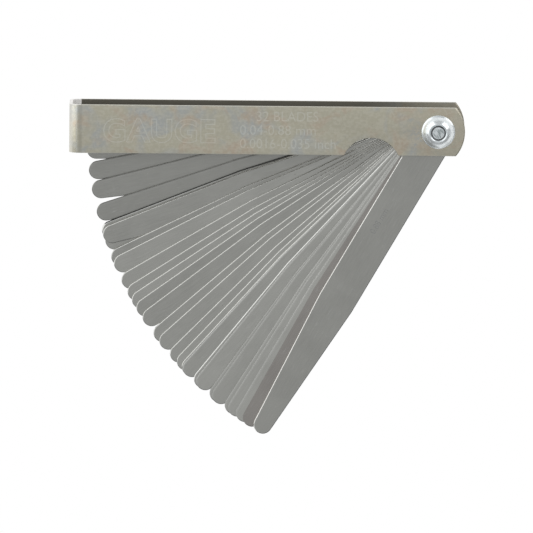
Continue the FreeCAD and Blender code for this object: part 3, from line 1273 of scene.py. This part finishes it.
# Tone factor of each blade: lighter and darker copies of one steel, painted light and shade, darker on the
# back blades in the case's shade, lighter on the thin blades.
TONES = {
    "0.88": 0.98, "0.06": 1.15, "0.08": 1.12, "0.10": 1.12, "0.23": 1.11, "0.25": 1.11, "0.33": 1.12,
    "0.43": 1.01, "0.45": 0.98, "0.48": 1.09, "0.55": 1.09, "0.58": 0.96, "0.60": 0.98, "0.65": 1.0,
    "0.70": 0.9, "0.73": 0.93, "0.75": 0.93, "0.80": 0.96,
}  # fmt: skip
# Painted edge highlight strength of some thin blades.
SHINES = {"0.23": 0.45, "0.25": 0.8, "0.28": 0.5, "0.30": 0.8}


@dataclass
class BladeFan:
    """The blades: each keeps its exact shape, and gets its own finish and an etched thickness."""

    frame: dict
    mark_distance: float = 29.0 * MM
    mark_offset: float = 1.3 * MM
    mark_size: Pair = (7.4 * MM, 1.7 * MM)
    mark_depth: float = 0.008 * MM
    tones: dict[str, float] = field(default_factory=lambda: dict(TONES))
    plain_tone: float = 1.05
    shines: dict[str, float] = field(default_factory=lambda: dict(SHINES))
    thin_below: float = 0.22
    low_angle: float = 17.0
    # The blade whose upper edge gets the darkest painted shade line.
    painted_shade: str = "0.65"
    # The two thinnest blades get a darker, brownish steel: painted shade beside the thick front blade.
    shaded_brown: tuple[str, ...] = ("0.04", "0.05")
    shaded_brown_colour: Colour = (0.365, 0.345, 0.322)
    front: str = "0.88"
    # a whiter painted highlight for the front blade's edge
    front_edge_highlight: Colour = (1.0, 0.99, 0.96)

    def dress(self, shelf: EffectShelf) -> None:
        """Gives every blade its finish and its mark.

        Args:
            shelf: The shared effects.
        """
        ink = EtchedMark().build(shelf)
        for joint in self.frame["joints"]:
            node = joint["child"]
            turn = -math.radians(joint["range_deg"][0])
            finish = self._finish(node, turn)
            dress(self.frame["nodes"][node], finish.build(shelf))
            self._mark(node, turn, ink)
            log.info("blade %s at %.1f degrees", node, math.degrees(turn))

    @staticmethod
    def thickness(node: str) -> str:
        """Reads a blade's thickness from its name, as it is written on the blade."""
        return node[6:].replace("_", ".").replace("mm", "")

    def _finish(self, node: str, turn: float) -> SpringSteel:
        """Chooses a blade's finish: thin ones bow and have no bright edge, and low ones get a painted
        shade line along their upper edge.

        Args:
            node: The blade's node.
            turn: How far it is open, in radians.

        Returns:
            The finish.
        """
        size, degrees = self.thickness(node), math.degrees(turn)
        thin = float(size) < self.thin_below
        closed = max(0.0, min(1.0, (degrees - 14.8) / 3.0))
        finish = SpringSteel(
            name=f"spring_steel_{node[6:]}",
            turn=turn,
            tone=self.tones.get(size, self.plain_tone),
            bow=0.12 if thin else 0.02,
            shine=self._shine(size, thin, degrees),
            gap=1.0 if size == self.painted_shade else 0.42 * (1.0 - closed),
        )
        # Painted shade: the thinnest blades' steel made darker and browner.
        if size in self.shaded_brown:
            return replace(finish, base=self.shaded_brown_colour)
        # The front blade gets a whiter painted edge highlight and a stronger painted dark outline.
        if size == self.front:
            return replace(finish, polished_highlight=self.front_edge_highlight, outline=0.85)
        return finish

    def _shine(self, size: str, thin: bool, degrees: float) -> float:
        """Says how strong a blade's painted edge highlight is: dull on the shaded brown, thin and low
        blades.

        Args:
            size: The blade's thickness, as it is written on it.
            thin: True for one of the thin blades.
            degrees: How far it is open.

        Returns:
            The share of a fully polished edge, which also sets the strength of its painted highlight.
        """
        if size in self.shaded_brown:
            return 0.0
        # Blades open less than low_angle lie in the case's shade, so their painted edge highlight is
        # nearly off.
        plain = 1.0 if degrees > self.low_angle else 0.1
        return self.shines.get(size, 0.3 if thin else plain)

    def _mark(self, node: str, turn: float, ink: bpy.types.Material) -> None:
        """Etches the thickness near the pivot end of a blade."""
        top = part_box(node)[1].z
        place = Matrix.Rotation(turn, 4, "Z")
        place = place @ Matrix.Translation((-self.mark_distance, self.mark_offset, 0))
        place = Matrix.Translation((0, 0, top)) @ place
        line = Line(self.thickness(node) + " mm", *self.mark_size)
        mark = Solid.text(f"etched_{node[6:]}", line, self.mark_depth, place)
        dress(mark.obj, ink)
        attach(mark.obj, node)


def dress(obj: bpy.types.Object, material: bpy.types.Material) -> None:
    """Puts one material on a whole piece.

    Args:
        obj: The piece.
        material: The material.
    """
    if not obj.data.materials:
        obj.data.materials.append(material)
    for slot in obj.material_slots:
        slot.material = material


# ---------------------------------------------------------------- the studio


@dataclass
class Studio:
    """A white table, soft light from all round, and a camera almost straight above."""

    aim: Vector
    tilt: float = math.radians(6.7)
    roll: float = math.radians(0.53)
    view_width: float = 143.5 * MM
    shift_left: float = 46.26 * MM
    shift_down: float = 36.2 * MM
    lens: float = 1000.0
    sensor: float = 36.0
    lamp_distance: float = 0.6
    sky_slope: tuple[float, float, float] = (-0.03, 0.08, 0.36)

    def build(self) -> None:
        """Sets up the camera, the table and the light."""
        self._camera()
        self._table()
        self._sky()
        self._lamp("left_softbox", azimuth=152, elevation=23, width=0.92, height=0.54, radiance=1.0)
        self._lamp("right_softbox", azimuth=42, elevation=23, width=0.44, height=0.44, radiance=1.25)
        scene = bpy.context.scene
        scene.view_settings.view_transform = "Standard"
        scene.view_settings.look = "None"

    def _camera(self) -> None:
        """Aims a long lens at the gauge."""
        along = Vector((1, 0, 0))
        away = Vector((0, math.cos(self.tilt), -math.sin(self.tilt)))
        back = along.cross(away)
        right = along * math.cos(self.roll) + away * math.sin(self.roll)
        up = away * math.cos(self.roll) - along * math.sin(self.roll)
        centre = self.aim - right * self.shift_left - up * self.shift_down
        data = bpy.data.cameras.new("camera")
        data.lens, data.sensor_width = self.lens, self.sensor
        data.clip_start, data.clip_end = 0.1, 50.0
        camera = bpy.data.objects.new("camera", data)
        distance = self.view_width * self.lens / self.sensor
        turn = Matrix((right, up, back)).transposed().to_4x4()
        camera.matrix_world = Matrix.Translation(centre + back * distance) @ turn
        bpy.context.scene.collection.objects.link(camera)
        bpy.context.scene.camera = camera

    def _table(self) -> None:
        """Lays the pale table top."""
        table = Solid.plate("table_top", Vector((-3, -3, -0.01 * MM)), Vector((3, 3, -0.01 * MM))).obj
        material = bpy.data.materials.new("white_table")
        material.use_nodes = True
        material.node_tree.nodes.clear()
        sheet = NodeSheet(material.node_tree)
        ray = sheet.add("LightPath").outputs["Is Camera Ray"]
        strength = sheet.add("MapRange", {0: ray, 3: 0.88, 4: 1.0}).outputs[0]
        lit = sheet.add("Emission", {"Color": (1, 1, 1, 1), "Strength": strength})
        sheet.add("OutputMaterial", {"Surface": lit.outputs[0]})
        dress(table, material)

    def _sky(self) -> None:
        """Lights the room from all round, more from the far left than from above or near."""
        world = bpy.data.worlds.new("studio_light")
        bpy.context.scene.world = world
        world.use_nodes = True
        world.node_tree.nodes.clear()
        sheet = NodeSheet(world.node_tree)
        way = sheet.add("TexCoord").outputs["Generated"]
        slope = {0: way, 1: self.sky_slope}
        share = sheet.add("VectorMath", slope, operation="DOT_PRODUCT").outputs["Value"]
        strength = sheet.math("MAXIMUM", sheet.math("ADD", share, 0.25), 0.05)
        light = sheet.add("Background", {"Color": (0.97, 0.985, 1.0, 1.0), "Strength": strength})
        seen = sheet.add("Background", {"Color": (1.0, 1.0, 1.0, 1.0), "Strength": 1.0})
        ray = sheet.add("LightPath").outputs["Is Camera Ray"]
        both = sheet.add("MixShader", {0: ray, 1: light.outputs[0], 2: seen.outputs[0]})
        sheet.add("OutputWorld", {"Surface": both.outputs[0]})

    def _lamp(
        self, name: str, azimuth: float, elevation: float, width: float, height: float, radiance: float
    ) -> None:
        """Stands one softbox that faces the pivot.

        Args:
            name: The lamp's name.
            azimuth: Its direction on the table, in degrees from +X towards +Y.
            elevation: How high it stands, in degrees.
            width: Its width in metres.
            height: Its height in metres.
            radiance: How bright its face is.
        """
        turn, rise = math.radians(azimuth), math.radians(elevation)
        way = Vector((math.cos(turn) * math.cos(rise), math.sin(turn) * math.cos(rise), math.sin(rise)))
        data = bpy.data.lights.new(name, "AREA")
        data.shape, data.size, data.size_y = "RECTANGLE", width, height
        data.energy = radiance * math.pi * width * height
        lamp = bpy.data.objects.new(name, data)
        place = Matrix.Translation(way * self.lamp_distance)
        lamp.matrix_world = place @ way.to_track_quat("Z", "Y").to_matrix().to_4x4()
        bpy.context.scene.collection.objects.link(lamp)


# ---------------------------------------------------------------- assembly


@dataclass
class FeelerGauge:
    """The whole gauge: the case, the screw, the nut and the fan of blades."""

    frame: dict

    def build(self) -> None:
        """Builds the pieces in order and puts each on its body."""
        shelf = EffectShelf()
        folded = FoldedCase(*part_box("case"))
        turned_nut = DomedNut(*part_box("domed_nut"))
        zinc = BrightZinc(nut_top=turned_nut.high.z / MM, cheek_top=turned_nut.low.z / MM).build(shelf)
        case = folded.build()
        nickel = folded.finish()
        self._fit(case, "case", nickel.build(shelf))
        case.obj.data.materials.append(nickel.pressed().build(shelf))
        for face in folded.pressed_faces(case):
            face.material_index = 1
        self._fit(turned_nut.build(), "domed_nut", zinc)
        screw = PivotScrew(*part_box("pivot_screw")).build()
        self._fit(screw, "pivot_screw", zinc)
        BladeFan(self.frame).dress(shelf)

    def _fit(self, piece: Solid, node: str, material: bpy.types.Material) -> None:
        """Puts a finished piece in the place of its plain node."""
        dress(piece.obj, material)
        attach(piece.obj, "case")
        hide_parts(node)
        low, high = (Vector(c) for c in (piece.obj.bound_box[0], piece.obj.bound_box[6]))
        faces = len(piece.obj.data.polygons)
        log.info("%s: %d faces, %s to %s mm", piece.obj.name, faces, low / MM, high / MM)


def main() -> None:
    """Builds the gauge and the studio."""
    logging.basicConfig(level=logging.INFO, format="%(name)s: %(message)s")
    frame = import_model()
    nut_low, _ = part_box("domed_nut")
    FeelerGauge(frame).build()
    Studio(aim=Vector((0, 0, nut_low.z))).build()


if __name__ == "__main__":
    main()
